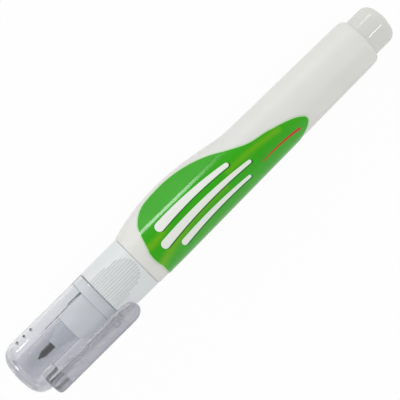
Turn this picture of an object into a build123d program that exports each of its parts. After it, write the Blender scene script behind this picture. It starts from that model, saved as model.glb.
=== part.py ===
from build123d import *
from math import atan2, cos, pi, radians, sin
import os

# Squeeze correction pen with a spring valve tip, in millimetres and degrees.
# The pen lies along X with its cap towards -X, its label up (+Z) and its belly towards +Y.
# Stations run along the pen from the barrel's front face, and grow towards the rear.
# Angles round the pen are measured from +Z towards +Y.

# Turns and directions
quarter_turn = 90.0
half_turn = 180.0
full_turn = 360.0

# Fits between pieces
seat_clearance = 0.02
running_clearance = 0.05
cap_clearance = 0.1
cut_overrun = 1.0

# Barrel: a soft tube with a belly on one side and a flat along its back
barrel_length = 83.3
barrel_radius = 8.1
barrel_rear_radius = 7.12
barrel_wall = 1.0
barrel_bevel = 0.3
section_points = 36
taper_start = 10.0
taper_steps = 6
belly_length = 39.0
belly_blend = 3.0
belly_rise = 2.65
belly_lead_power = 0.88
belly_steps = 16
flank_angle = 38.0
back_flat_depth = 0.1
rear_round_length = 1.9
rear_round_drop = 0.9
rear_round_lift = 0.05
mouth_radius = 7.0
mouth_depth = 6.5

# Label: a film that follows the barrel
label_thickness = 0.16
label_start = 3.8
label_length = 54.6
label_wrap = 3.0
label_wrap_corner = 2.2
label_wrap_run = 4.5
label_front_share = 0.0
label_rear_share = 0.94
# Shares of the label's length, then of the belly's crest above the axis or the barrel's radius below it
label_outline_shares = (
    (0.0, -0.9),
    (-0.002, -0.4),
    (0.0, -0.03),
    (0.034, 0.476),
    (0.063, 0.671),
    (0.107, 0.817),
    (0.165, 0.889),
    (0.286, 0.909),
    (0.401, 0.831),
    (0.513, 0.646),
    (0.623, 0.343),
    (0.707, 0.146),
    (0.819, 0.022),
    (0.93, -0.212),
    (0.987, -0.44),
    (1.0, -0.622),
    (0.985, -0.8),
    (0.949, -0.915),
)

# Rear plug: a hollow stopper whose end stands out of the barrel
spigot_radius = 5.8
spigot_length = 8.6
spigot_end_radius = 2.8
spigot_dome = 0.65
plug_radius = 5.3
plug_depth = 9.0
plug_wall = 1.3
plug_seat_width = 1.5
plug_seat_rim = 0.9

# Nozzle collar: ribbed grip, seat for the cap, neck, and the plug that holds it in the barrel
collar_length = 12.7
collar_front_radius = 7.95
collar_rear_radius = 8.0
collar_edge_radius = 0.35
collar_plug_length = 6.0
flange_length = 3.1
flange_radius = 7.1
neck_length = 5.2
neck_radius = 6.3
shoulder_length = 3.65
shoulder_radius = 4.1
chamber_radius = 5.4
chamber_wall = 2.2
groove_count = 14
groove_pitch_angle = 5.4
groove_radius = 0.26
groove_length = 12.0
groove_edge_share = 0.45

# Tip holder and the valve inside it
holder_nose_length = 6.05
holder_nose_radius = 1.3
holder_base_radius = 3.15
holder_plug_radius = 2.95
holder_plug_length = 8.6
tube_radius = 0.95
tube_seat_depth = 3.0
tube_reach = 4.6
tube_nose_length = 1.1
tube_nose_radius = 0.62
pin_radius = 0.36
pin_reach = 0.9
pin_point_radius = 0.3
pin_head_radius = 1.25
pin_head_length = 0.8
pin_tail_radius = 0.55
pin_tail_length = 4.0
spring_chamber_radius = 1.6
spring_wire_radius = 0.15
spring_coil_radius = 1.08
spring_turns = 8
stop_length = 2.5
stop_bore_radius = 0.6

# Cap: clear shell with a moulded clip, and the sealing cup inside it
cap_length = 30.6
cap_radius = 7.9
cap_wall = 0.95
cap_end_wall = 1.7
cap_corner_radius = 4.2
cap_inner_corner_radius = 2.8
cap_dome = 0.35
cap_seat_wall = 0.7
cup_length_gap = 0.1
cup_wall = 0.55
cup_end_wall = 0.9
cup_clearance = 0.12
boss_wall = 0.6
boss_length = 1.2
slit_count = 2
slit_angle = 36.0
slit_width = 0.3
slit_length = 4.6
vent_count = 3
vent_pitch = 2.5
vent_radius = 0.45
vent_start = 6.5
vent_angle = 62.0
clip_angle = -50.0
clip_start = 5.45
clip_length = 30.4
clip_width = 7.0
clip_thickness = 1.45
clip_gap = 2.1
clip_corner_radius = 1.8
clip_edge_radius = 0.45
clip_root_length = 4.3
clip_bead_radius = 1.0
clip_bead_height = 0.85
clip_bead_setback = 7.4

# Mixing ball
ball_radius = 2.5
ball_station = 66.0

# Stations and lengths that several pieces share
belly_end = belly_length + belly_blend
taper_length = barrel_length - taper_start
plug_front = barrel_length - plug_depth
rear_end = barrel_length + spigot_length
collar_front = -collar_length
flange_front = collar_front - flange_length
neck_front = flange_front - neck_length
nozzle_front = neck_front - shoulder_length
holder_front = nozzle_front - holder_nose_length
holder_rear = nozzle_front + holder_plug_length
tube_front = holder_front - tube_reach
valve_seat = holder_front + tube_seat_depth
stop_front = holder_rear - stop_length
pin_head_front = valve_seat + seat_clearance
pin_head_rear = pin_head_front + pin_head_length
cap_mouth = collar_front - cap_clearance
cap_front = cap_mouth - cap_length
cap_inner_end = cap_front + cap_end_wall

# Radii that several pieces share
crest_height = barrel_radius + belly_rise
rest_height = barrel_radius - back_flat_depth
cap_bore = cap_radius - cap_wall
cup_bore = holder_base_radius + cup_clearance
cup_radius = cup_bore + cup_wall
clip_inside = cap_radius + clip_gap
clip_outside = clip_inside + clip_thickness


def bar(start, end, radius):
    """Round bar along the pen's axis."""
    upright = Cylinder(radius, end - start, align=(Align.CENTER, Align.CENTER, Align.MIN))
    return Pos(start, 0, 0) * Rot(0, quarter_turn, 0) * upright


def turned(*corners):
    """Solid of revolution about the pen's axis from (station, radius) corners."""
    return revolve(make_face(Polyline(*corners, close=True)), Axis.X)


def rounded_bar(start, end, radius, corner, dome):
    """Bar whose far end has a rounded corner and a low dome, pointing either way along the axis."""
    way = 1 if end > start else -1
    bend = end - way * dome
    middle = corner * sin(radians(quarter_turn / 2))
    side = Line((start, radius), (bend - way * corner, radius))
    turn = ThreePointArc(
        (bend - way * corner, radius),
        (bend - way * (corner - middle), radius - corner + middle),
        (bend, radius - corner),
    )
    if dome:
        face = TangentArc((end, 0), (bend, radius - corner), tangent=(0, 1))
    else:
        face = Line((end, 0), (bend, radius - corner))
    axis = Line((end, 0), (start, 0))
    back = Line((start, 0), (start, radius))
    return revolve(make_face([side, turn, face, axis, back]), Axis.X)


def facing(angle):
    """Turn that takes what is built on the +Z side to an angle round the pen."""
    return Rot(-angle, 0, 0)


def around(station, radius, angle, centre=0):
    """Point at an angle on a circle whose centre may lie off the axis, towards +Y."""
    return Vector(station, centre + radius * sin(radians(angle)), radius * cos(radians(angle)))


def section_reach(radius, rise, angle):
    """Distance from the axis to the barrel's outline: a large circle, a crest circle and tangent flanks."""
    lean = sin(radians(flank_angle))
    centre = rise / (1 - lean)
    crest_radius = radius - lean * centre
    flank_turn = radians(quarter_turn - flank_angle)
    off_crest = radians(abs(quarter_turn - angle))
    if off_crest >= flank_turn:
        return radius
    if off_crest > atan2(crest_radius * sin(flank_turn), centre + crest_radius * cos(flank_turn)):
        return radius / cos(flank_turn - off_crest)
    across = centre * sin(off_crest)
    return centre * cos(off_crest) + (crest_radius**2 - across**2) ** (1 / 2)


def barrel_section(station, radius, rise):
    """Closed smooth section of the barrel, from its side away from the belly and round."""
    points = []
    for index in range(section_points):
        angle = full_turn * index / section_points - quarter_turn
        points.append(around(station, section_reach(radius, rise, angle), angle))
    return Wire([Spline(*points, periodic=True)])


def belly_at(station):
    """Height of the belly's crest above the round barrel: a half wave whose rear end runs out smoothly."""
    to_end = belly_end - station
    if station <= 0 or to_end <= 0:
        return 0
    if to_end < 2 * belly_blend:
        end_slope = belly_rise * pi * belly_lead_power / belly_length
        return end_slope * to_end**2 / (4 * belly_blend)
    return belly_rise * sin(pi * (station / belly_length) ** belly_lead_power)


def radius_at(station):
    """Radius of the round barrel, even at its front and then tapered to its rear."""
    share = max(0, station - taper_start) / taper_length
    return barrel_radius - (barrel_radius - barrel_rear_radius) * share


def barrel_form(grow, start, end):
    """Form of the barrel between two stations, grown or shrunk evenly, in straight bands that are short."""
    belly_pitch = belly_end / belly_steps
    taper_pitch = (barrel_length - belly_end) / taper_steps
    stations = [belly_pitch * step for step in range(1, belly_steps + 1)]
    stations += [belly_end + taper_pitch * step for step in range(1, taper_steps)]
    between = [station for station in stations if start + cut_overrun < station < end - cut_overrun]
    sections = []
    for station in [start, *between, end]:
        sections.append(barrel_section(station, radius_at(station) + grow, belly_at(station)))
    return Solid.make_loft(sections, ruled=True)


def make_barrel(form):
    """Soft barrel: outer form with a bevelled front, a round shoulder, a back flat and an even wall."""
    bevel_radius = barrel_radius - barrel_bevel
    barrel = form - turned(
        (-cut_overrun, bevel_radius - cut_overrun),
        (cut_overrun, bevel_radius + cut_overrun),
        (-cut_overrun, bevel_radius + cut_overrun),
    )
    shoulder_start = barrel_length - rear_round_length
    shoulder_radius_out = radius_at(shoulder_start) + rear_round_lift
    end_radius = barrel_rear_radius - rear_round_drop
    shoulder_arc = TangentArc(
        (shoulder_start, shoulder_radius_out), (barrel_length, end_radius), tangent=(1, 0)
    )
    shoulder_rest = Polyline(
        (barrel_length, end_radius),
        (barrel_length + cut_overrun, end_radius),
        (barrel_length + cut_overrun, crest_height),
        (shoulder_start, crest_height),
        (shoulder_start, shoulder_radius_out),
    )
    barrel -= revolve(make_face([shoulder_arc, shoulder_rest]), Axis.X)
    below = Box(rear_end, crest_height, crest_height, align=(Align.MIN, Align.CENTER, Align.MAX))
    barrel -= Pos(-cut_overrun, 0, -rest_height) * below
    cavity_end = plug_front - plug_seat_width
    barrel -= barrel_form(-barrel_wall, mouth_depth, cavity_end)
    barrel -= bar(-cut_overrun, mouth_depth + cut_overrun, mouth_radius)
    barrel -= bar(plug_front, rear_end, plug_radius + seat_clearance)
    barrel -= bar(cavity_end - cut_overrun, rear_end, plug_radius - plug_seat_rim)
    return barrel


def make_label(form):
    """Film on the barrel: a leaf outline seen from above, whose lower edge wraps under the barrel."""
    corners = []
    for along, across in label_outline_shares:
        height = crest_height if across > 0 else barrel_radius
        corners.append((label_start + along * label_length, across * height))
    front = label_start + label_front_share * label_length
    rear = label_start + label_rear_share * label_length
    outside = -barrel_radius - cut_overrun
    edge = Spline(*corners)
    rest = Polyline(corners[-1], (rear, outside), (front, outside), corners[0])
    from_above = extrude(make_face([edge, rest]), crest_height)
    wrap_edge = FilletPolyline(
        (front, 0),
        (front, -label_wrap),
        (rear - label_wrap_run, -label_wrap),
        (rear, 0),
        radius=label_wrap_corner,
    )
    wrap_face = make_face([wrap_edge, Line((rear, 0), (front, 0))])
    under = extrude(Plane.XZ * wrap_face, crest_height)
    skin = barrel_form(label_thickness, 0, barrel_length) & (from_above + under)
    return skin - form


def make_rear_plug():
    """Hollow stopper pressed into the barrel's rear, whose wider closed end stands out and seats on it."""
    seat = barrel_length + seat_clearance
    outside = rounded_bar(seat, rear_end, spigot_radius, spigot_end_radius, spigot_dome)
    outside += bar(plug_front, seat, plug_radius)
    inside = rounded_bar(
        plug_front - cut_overrun,
        rear_end - plug_wall,
        spigot_radius - plug_wall,
        spigot_end_radius - plug_wall,
        spigot_dome,
    )
    return outside - inside


def collar_grooves():
    """Round grooves that leave fine ribs, in one patch on the front and one on the back."""
    edge_angle = groove_pitch_angle * (groove_count - 1) / 2
    grooves = []
    for side in (0, half_turn):
        for index in range(groove_count):
            angle = groove_pitch_angle * index - edge_angle
            arch = (1 - (angle / edge_angle) ** 2) ** (1 / 2)
            length = groove_length * (groove_edge_share + (1 - groove_edge_share) * arch)
            cutter = bar(collar_front - cut_overrun, collar_front + length, groove_radius)
            end_ball = Pos(collar_front + length, 0, 0) * Sphere(groove_radius)
            grooves.append(facing(side + angle) * Pos(0, 0, collar_rear_radius) * (cutter + end_ball))
    return grooves


def make_nozzle_collar():
    """Ribbed collar with the cap's seat and neck in front and a plug for the barrel behind."""
    plug_radius = mouth_radius - seat_clearance
    chamber_front = flange_front
    bore_radius = holder_plug_radius + seat_clearance
    body = turned(
        (nozzle_front, bore_radius),
        (nozzle_front, shoulder_radius),
        (neck_front, neck_radius),
        (flange_front, neck_radius),
        (flange_front, flange_radius),
        (collar_front, flange_radius),
        (collar_front, collar_front_radius),
        (0, collar_rear_radius),
        (0, plug_radius),
        (collar_plug_length, plug_radius),
        (collar_plug_length, chamber_radius),
        (chamber_front, chamber_radius),
        (chamber_front - chamber_wall, bore_radius),
    )
    rims = body.edges().filter_by(GeomType.CIRCLE).filter_by_position(Axis.X, collar_front, collar_front)
    outer_rim = rims.sort_by(SortBy.RADIUS)[-1]
    body = fillet(outer_rim, collar_edge_radius)
    return body - collar_grooves()


def make_tip_holder():
    """White cone with a seat for the metal tube in front and the spring's chamber behind."""
    body = turned(
        (holder_front, 0),
        (holder_front, holder_nose_radius),
        (nozzle_front, holder_base_radius),
        (nozzle_front, holder_plug_radius),
        (holder_rear, holder_plug_radius),
        (holder_rear, 0),
    )
    body -= bar(holder_front - cut_overrun, valve_seat, tube_radius + seat_clearance)
    return body - bar(valve_seat, holder_rear + cut_overrun, spring_chamber_radius)


def make_tip_tube():
    """Metal tube with a tapered nose, bored for the pin."""
    bore = pin_radius + running_clearance
    return turned(
        (tube_front, bore),
        (tube_front, tube_nose_radius),
        (tube_front + tube_nose_length, tube_radius),
        (valve_seat, tube_radius),
        (valve_seat, bore),
    )


def make_valve_pin():
    """Thin pin with a round point, a head that closes the tube and a tail inside the spring."""
    shank = rounded_bar(pin_head_rear, tube_front - pin_reach, pin_radius, pin_point_radius, 0)
    head = bar(pin_head_front, pin_head_rear, pin_head_radius)
    tail = bar(pin_head_front, pin_head_rear + pin_tail_length, pin_tail_radius)
    return shank + head + tail


def spring_point(angle, start, pitch):
    """Point on the spring's centre line, and the direction of the wire there."""
    place = around(start + pitch * angle / full_turn, spring_coil_radius, angle)
    ahead = around(0, spring_coil_radius, angle + quarter_turn)
    rise = pitch / (2 * pi)
    return place, (ahead + Vector(rise, 0, 0)).normalized()


def biarc(first, first_way, last, last_way):
    """Two arcs that share a tangent and join two points of a coil in their given directions."""
    reach = last - first
    both = first_way + last_way
    spread = 2 * (1 - first_way.dot(last_way))
    along = reach.dot(both)
    handle = ((along**2 + spread * reach.dot(reach)) ** (1 / 2) - along) / spread
    first_handle = first + first_way * handle
    last_handle = last - last_way * handle
    middle = (first_handle + last_handle) / 2
    middle_way = (last_handle - first_handle).normalized()
    return [TangentArc(first, middle, tangent=first_way), TangentArc(middle, last, tangent=middle_way)]


def make_valve_spring():
    """Coil spring between the pin's head and the stop, as one tube along quarter-turn arcs."""
    start = pin_head_rear + running_clearance + spring_wire_radius
    end = stop_front - running_clearance - spring_wire_radius
    pitch = (end - start) / spring_turns
    arcs = []
    for quarter in range(4 * spring_turns):
        first, first_way = spring_point(quarter * quarter_turn, start, pitch)
        last, last_way = spring_point((quarter + 1) * quarter_turn, start, pitch)
        arcs += biarc(first, first_way, last, last_way)
    path = Wire(arcs)
    first, first_way = spring_point(0, start, pitch)
    points = [path.position_at(index / (16 * spring_turns)) for index in range(16 * spring_turns + 1)]
    near = min((b - a).length for i, a in enumerate(points) for b in points[i + 12 :])
    print("valve spring gap between turns", round(near - 2 * spring_wire_radius, 3))
    return sweep(Plane(first, z_dir=first_way) * Circle(spring_wire_radius), path=path)


def make_spring_stop():
    """Ring pressed into the holder's rear that carries the spring and lets fluid through."""
    ring = bar(stop_front, holder_rear, spring_chamber_radius - seat_clearance)
    return ring - bar(stop_front - cut_overrun, holder_rear + cut_overrun, stop_bore_radius)


def cap_clip():
    """Flat clip with a round free end, a root on the cap's side and a bead under its end."""
    start = cap_front + clip_start
    end = start + clip_length
    half_width = clip_width / 2
    plan = FilletPolyline(
        (end - half_width, half_width),
        (start, half_width),
        (start, -half_width),
        (end - half_width, -half_width),
        radius=clip_corner_radius,
    )
    tail = ThreePointArc((end - half_width, -half_width), (end, 0), (end - half_width, half_width))
    outline = make_face([plan, tail])
    blade = Pos(0, 0, clip_inside) * extrude(outline, clip_thickness)
    top_edges = blade.faces().sort_by(Axis.Z)[-1].edges()
    blade = fillet(top_edges, clip_edge_radius)
    root_base = cap_radius - cap_wall
    root_zone = Box(clip_root_length, clip_width, clip_outside, align=(Align.MIN, Align.CENTER, Align.MIN))
    root = Pos(0, 0, root_base) * extrude(outline, clip_inside - root_base)
    root &= Pos(start, 0, 0) * root_zone
    root -= bar(cap_front, cap_mouth, cap_radius - cap_wall / 2)
    bead_height = clip_inside + clip_bead_radius - clip_bead_height
    bead = Pos(end - clip_bead_setback, 0, bead_height) * Sphere(clip_bead_radius)
    return facing(clip_angle) * (blade + root + bead)


def make_cap_shell():
    """Clear cap: domed shell, seat at its mouth, boss for the cup, snap slits, vents and clip."""
    shell = rounded_bar(cap_mouth, cap_front, cap_radius, cap_corner_radius, cap_dome)
    shell -= rounded_bar(cap_mouth + cut_overrun, cap_inner_end, cap_bore, cap_inner_corner_radius, 0)
    shell -= bar(flange_front - cap_clearance, cap_mouth + cut_overrun, cap_radius - cap_seat_wall)
    boss_bore = cup_radius + running_clearance
    boss = bar(cap_inner_end - cap_wall, cap_inner_end + boss_length, boss_bore + boss_wall)
    shell += boss - bar(cap_inner_end, cap_inner_end + boss_length + cut_overrun, boss_bore)
    slit = Box(slit_length, slit_width, cap_radius, align=(Align.MAX, Align.CENTER, Align.MIN))
    slit_end = flange_front - cap_clearance
    for index in range(slit_count):
        angle = slit_angle + full_turn * index / slit_count
        shell -= facing(angle) * Pos(slit_end, 0, cup_radius) * slit
    for index in range(vent_count):
        vent = Cylinder(vent_radius, cap_radius, align=(Align.CENTER, Align.CENTER, Align.MIN))
        station = cap_front + vent_start + vent_pitch * index
        shell -= facing(vent_angle) * Pos(station, 0, cup_radius) * vent
    return shell + cap_clip()


def make_inner_cap():
    """Clear sealing cup round the tip, closed at its front."""
    front = cap_inner_end + running_clearance
    rear = nozzle_front - cup_length_gap
    cup = bar(front, rear, cup_radius)
    return cup - bar(front + cup_end_wall, rear + cut_overrun, cup_bore)


def make_mixing_ball():
    """Steel ball that lies on the floor of the barrel's cavity near its rear."""
    floor = radius_at(ball_station + ball_radius) - barrel_wall
    return Pos(ball_station, 0, ball_radius + cap_clearance - floor) * Sphere(ball_radius)


barrel_outside = barrel_form(0, 0, barrel_length)
pieces = {
    "barrel": make_barrel(barrel_outside),
    "label": make_label(barrel_outside),
    "rear_plug": make_rear_plug(),
    "nozzle_collar": make_nozzle_collar(),
    "tip_holder": make_tip_holder(),
    "tip_tube": make_tip_tube(),
    "valve_pin": make_valve_pin(),
    "valve_spring": make_valve_spring(),
    "spring_stop": make_spring_stop(),
    "cap_shell": make_cap_shell(),
    "inner_cap": make_inner_cap(),
    "mixing_ball": make_mixing_ball(),
}

# The origin is under the middle of the pen's box, on the surface that its back flat lies on
box = Compound(list(pieces.values())).bounding_box()
home = Pos(-box.center().X, -box.center().Y, -box.min.Z)
print("pen box in the barrel's frame", box.min, box.max)

os.makedirs("parts", exist_ok=True)
for name, solid in pieces.items():
    export_step(home * solid, f"parts/{name}.step")
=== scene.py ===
# %% [markdown]
# # A squeeze correction pen
#
# A pen like this is a soft moulded tube with a belly for the thumb, a ribbed collar, a metal tip under a
# clear cap and a glossy label. The construction is already there as solids. This lesson loads them as a
# fixed frame and gives each piece the surface that the eye expects of it.

# %% Load the frame
import math

import bmesh
import bpy
import numpy as np
from mathutils import Matrix, Vector


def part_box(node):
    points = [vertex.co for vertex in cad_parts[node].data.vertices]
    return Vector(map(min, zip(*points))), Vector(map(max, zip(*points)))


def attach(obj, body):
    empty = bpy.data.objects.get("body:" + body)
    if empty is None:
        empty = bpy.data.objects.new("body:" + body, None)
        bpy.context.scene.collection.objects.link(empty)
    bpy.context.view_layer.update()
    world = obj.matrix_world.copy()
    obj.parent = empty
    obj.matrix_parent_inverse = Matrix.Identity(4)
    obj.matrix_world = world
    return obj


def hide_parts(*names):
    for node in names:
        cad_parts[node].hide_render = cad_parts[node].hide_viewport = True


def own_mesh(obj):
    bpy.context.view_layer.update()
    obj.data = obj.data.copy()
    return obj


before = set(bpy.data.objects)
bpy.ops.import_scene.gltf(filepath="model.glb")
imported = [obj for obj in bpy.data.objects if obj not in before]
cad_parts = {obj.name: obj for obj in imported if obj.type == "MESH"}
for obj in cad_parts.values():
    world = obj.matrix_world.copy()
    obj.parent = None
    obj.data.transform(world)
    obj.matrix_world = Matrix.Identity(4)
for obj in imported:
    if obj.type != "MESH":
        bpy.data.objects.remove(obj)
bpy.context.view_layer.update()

print("nodes:", ", ".join(sorted(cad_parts)))

# %% [markdown]
# Nearly everything on the pen sits on one axis. The rear plug is round, so the middle of its box gives that
# axis, and the barrel's front face is station 0 along it. Each shape below is worked out in millimetres
# from that point: a station along the pen, then y towards the belly and z towards the label.

# %% Find the pen's axis
MM = 0.001
plug_low, plug_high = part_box("rear_plug")
AXIS_START = np.array(
    [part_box("barrel")[0].x, (plug_low.y + plug_high.y) / 2, (plug_low.z + plug_high.z) / 2]
)
# The pen lies on the table, z = 0, which is this far below its axis.
REST_DEPTH = AXIS_START[2] / MM
print("axis starts at", np.round(AXIS_START / MM, 3), "mm")


def to_frame(station, y, z):
    """Points of the frame in metres: the axis start plus (station, y, z) mm, as one (..., 3) array."""
    return AXIS_START + MM * np.stack(np.broadcast_arrays(station, y, z), axis=-1)


def node_stations(node):
    """First and last station of a CAD node, in millimetres from the barrel's front face."""
    low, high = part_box(node)
    return (low.x - AXIS_START[0]) / MM, (high.x - AXIS_START[0]) / MM


# %% [markdown]
# A surface here is a grid: rows follow a profile and columns go round the axis. The same function closes
# the grid where it meets itself, merges the points of a pole, turns the faces outwards by the sign of the
# volume that they enclose, and shades it smooth except at real edges.

# %% Grids to meshes
SHARP_ANGLE = math.radians(32)
MERGE_DISTANCE = 1e-7


def grid_quads(rows, columns, close_rows):
    """Corner numbers of each quad: point (i, j) is i * columns + j. Columns wrap, and rows if asked."""
    i = np.arange(rows if close_rows else rows - 1)[:, None]
    j = np.arange(columns)[None, :]
    i_next, j_next = (i + 1) % rows, (j + 1) % columns
    corners = [i * columns + j, i * columns + j_next, i_next * columns + j_next, i_next * columns + j]
    return np.stack(np.broadcast_arrays(*corners), axis=-1).reshape(-1, 4)


def outward(points, quads):
    """The quads, reversed if the volume sum of p0 . (p1 x p2) over their two triangles is negative."""
    a, b, c, d = (points[quads[:, k]] for k in range(4))
    volume = np.sum(a * np.cross(b, c)) + np.sum(a * np.cross(c, d))
    return quads if volume > 0 else quads[:, ::-1]


def finish_mesh(mesh):
    """Merges points that lie on each other and shades the mesh smooth between its sharp edges."""
    work = bmesh.new()
    work.from_mesh(mesh)
    bmesh.ops.remove_doubles(work, verts=work.verts, dist=MERGE_DISTANCE)
    bmesh.ops.dissolve_degenerate(work, edges=work.edges, dist=MERGE_DISTANCE)
    work.to_mesh(mesh)
    work.free()
    mesh.shade_smooth()
    mesh.set_sharp_from_angle(angle=SHARP_ANGLE)


def add_piece(name, mesh, material, body, replaced):
    """Puts a finished mesh into the scene as a piece that rides on a body and stands for CAD nodes."""
    mesh.materials.clear()
    mesh.materials.append(material)
    piece = bpy.data.objects.new(name, mesh)
    bpy.context.collection.objects.link(piece)
    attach(piece, body)
    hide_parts(*replaced)
    print(name, len(mesh.vertices), "points,", len(mesh.polygons), "faces")
    return piece


def grid_mesh(name, points, close_rows=False, values=None):
    """Mesh of a (rows, columns, 3) array of points, with named values on its points."""
    rows, columns = points.shape[:2]
    flat = points.reshape(-1, 3)
    quads = outward(flat - flat.mean(axis=0), grid_quads(rows, columns, close_rows))
    mesh = bpy.data.meshes.new(name)
    mesh.from_pydata(flat.tolist(), [], quads.tolist())
    for key, value in (values or {}).items():
        layer = mesh.attributes.new(key, "FLOAT", "POINT")
        layer.data.foreach_set("value", value.ravel().astype(np.float32))
    finish_mesh(mesh)
    return mesh


print("edges of more than", round(math.degrees(SHARP_ANGLE)), "degrees stay sharp")

# %% [markdown]
# ## Camera
#
# The photograph looks almost straight down on the pen, which lies along the picture's diagonal. Its field
# is 105 mm wide at the axis. The camera stands a little towards the cap, so that the collar's edge and the
# rear shoulder bend the same way as in the photograph.

# %% Camera at the photograph's view
FIELD = 105.2
CAMERA_HEIGHT = 459.0
CAMERA_FOOT = -22.5
AIM_STATION, AIM_Y = 23.2, -0.25
PICTURE_SLOPE = math.radians(44.82)
SENSOR = 36.0

aim = Vector(to_frame(AIM_STATION, AIM_Y, 0.0))
eye = aim + Vector((CAMERA_FOOT * MM, 0, CAMERA_HEIGHT * MM))
back = (eye - aim).normalized()
picture_up = Vector((math.sin(PICTURE_SLOPE), math.cos(PICTURE_SLOPE), 0))
right = picture_up.cross(back).normalized()
camera = bpy.data.objects.new("photo_camera", bpy.data.cameras.new("photo_camera"))
bpy.context.collection.objects.link(camera)
turn = Matrix((right, back.cross(right), back)).transposed().to_4x4()
camera.matrix_world = Matrix.Translation(eye) @ turn
camera.data.sensor_width = SENSOR
camera.data.lens = SENSOR * (eye - aim).length / (FIELD * MM)
bpy.context.scene.camera = camera
bpy.context.scene.view_settings.view_transform = "Standard"
print("lens", round(camera.data.lens, 1), "mm")

# %% [markdown]
# ## Nodes and colours
#
# Every material is a small tree of nodes. One function adds a node, and one turns an sRGB hex value, as a
# colour picker gives it, into the linear numbers that light is added up in.


# %% Node and colour helpers
def linear(hex_value):
    """Linear RGBA of an sRGB hex value: ((c + 0.055) / 1.055) ** 2.4 above 0.04045, else c / 12.92."""
    srgb = np.array([int(hex_value[k : k + 2], 16) / 255 for k in (1, 3, 5)])
    rgb = np.where(srgb > 0.04045, ((srgb + 0.055) / 1.055) ** 2.4, srgb / 12.92)
    return (*rgb.tolist(), 1.0)


def add_node(tree, kind, settings=None, sockets=None):
    """Adds a node. Settings are its properties, sockets its inputs: a value, or the output feeding it."""
    made = tree.nodes.new(kind)
    for key, value in (settings or {}).items():
        setattr(made, key, value)
    for key, value in (sockets or {}).items():
        if isinstance(value, bpy.types.NodeSocket):
            tree.links.new(value, made.inputs[key])
        else:
            made.inputs[key].default_value = value
    return made


def new_material(name):
    """New node material: itself, its tree and its Principled shader."""
    material = bpy.data.materials.new(name)
    material.use_nodes = True
    tree = material.node_tree
    print("material", name)
    return material, tree, tree.nodes["Principled BSDF"]


def per_metre(size_mm):
    """Scale of a noise whose features are about that many millimetres wide."""
    return 1 / (size_mm * MM)


print("half-bright #808080 is", round(linear("#808080")[0], 3), "in linear light")

# %% [markdown]
# ## Studio
#
# The pen lies on a plain white floor under soft light. The camera sees floor and sky as white. Rays that
# come by way of a mirror or of clear plastic see a part of the floor's glow, and a sky that darkens
# overhead, so that gloss keeps its contrast. All other rays see plain paper and a dimmer sky, so the pen is
# lit at a normal level and the floor keeps its shadow.

# %% Floor and sky
FLOOR_SIZE = 3.0
FLOOR_DROP = 0.02
PAPER = "#f2f2f2"
SKY_LEVEL = 0.66
CEILING_LEVEL = 0.12
FLOOR_GLOW = {"Is Camera Ray": 0.95, "Is Glossy Ray": 0.4, "Is Transmission Ray": 0.6}
SKY_GLOW = {"Is Camera Ray": 1.0, "Is Glossy Ray": 1.0, "Is Transmission Ray": 1.0}


def ray_share(tree, shares):
    """The share of the kind of ray that asks: the largest of each kind's flag times its share, else 0."""
    path = add_node(tree, "ShaderNodeLightPath")
    most = 0.0
    for kind, share in shares.items():
        flag = {0: path.outputs[kind], 1: share}
        scaled = add_node(tree, "ShaderNodeMath", {"operation": "MULTIPLY"}, flag)
        larger = {0: scaled.outputs[0], 1: most}
        most = add_node(tree, "ShaderNodeMath", {"operation": "MAXIMUM"}, larger).outputs[0]
    return most


def make_floor():
    """Square floor just under the pen: paper, mixed with a white glow by the kind of ray that sees it."""
    half, height = FLOOR_SIZE / 2, -FLOOR_DROP * MM
    mesh = bpy.data.meshes.new("floor")
    corners = [(-half, -half, height), (half, -half, height), (half, half, height), (-half, half, height)]
    mesh.from_pydata(corners, [], [(0, 1, 2, 3)])
    material, tree, shader = new_material("white_paper_floor")
    tree.nodes.remove(shader)
    paper = add_node(tree, "ShaderNodeBsdfDiffuse", None, {"Color": linear(PAPER)})
    glow = add_node(tree, "ShaderNodeEmission", None, {"Strength": 1.0})
    mix = {0: ray_share(tree, FLOOR_GLOW), 1: paper.outputs[0], 2: glow.outputs[0]}
    surface = add_node(tree, "ShaderNodeMixShader", None, mix)
    tree.links.new(surface.outputs[0], tree.nodes["Material Output"].inputs["Surface"])
    mesh.materials.append(material)
    floor = bpy.data.objects.new("floor", mesh)
    bpy.context.collection.objects.link(floor)


def make_sky():
    """White to the camera. For mirrored and bent rays it darkens from the horizon to the ceiling."""
    world = bpy.data.worlds.new("studio")
    bpy.context.scene.world = world
    world.use_nodes = True
    tree = world.node_tree
    path = add_node(tree, "ShaderNodeLightPath")
    direction = add_node(tree, "ShaderNodeTexCoord").outputs["Generated"]
    height = add_node(tree, "ShaderNodeSeparateXYZ", None, {0: direction}).outputs["Z"]
    dimming = {"Value": height, "To Min": 1.0, "To Max": CEILING_LEVEL}
    ceiling = add_node(tree, "ShaderNodeMapRange", None, dimming)
    soft = {0: ray_share(tree, SKY_GLOW), 2: SKY_LEVEL, 3: ceiling.outputs[0]}
    level = add_node(tree, "ShaderNodeMix", {"data_type": "FLOAT"}, soft)
    white = {0: path.outputs["Is Camera Ray"], 2: level.outputs[0], 3: 1.0}
    strength = add_node(tree, "ShaderNodeMix", {"data_type": "FLOAT"}, white)
    tree.links.new(strength.outputs[0], tree.nodes["Background"].inputs["Strength"])
    tree.nodes["Background"].inputs["Color"].default_value = (1, 1, 1, 1)


make_floor()
make_sky()
print("floor", FLOOR_SIZE, "m wide, sky at", SKY_LEVEL)

# %% [markdown]
# Soft lamps do the rest. A large one hangs behind the camera. Nothing glossy mirrors it, so the label keeps
# its green. A small one low beside the belly draws the bright line along the label. One low beside the cap
# and one past its closed end give the clear plastic its glints. Two stand past the rear end, where only the
# glossy plug mirrors them towards the camera, and give it its two streaks. Clear plastic doesn't show the
# lamps themselves.


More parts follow.
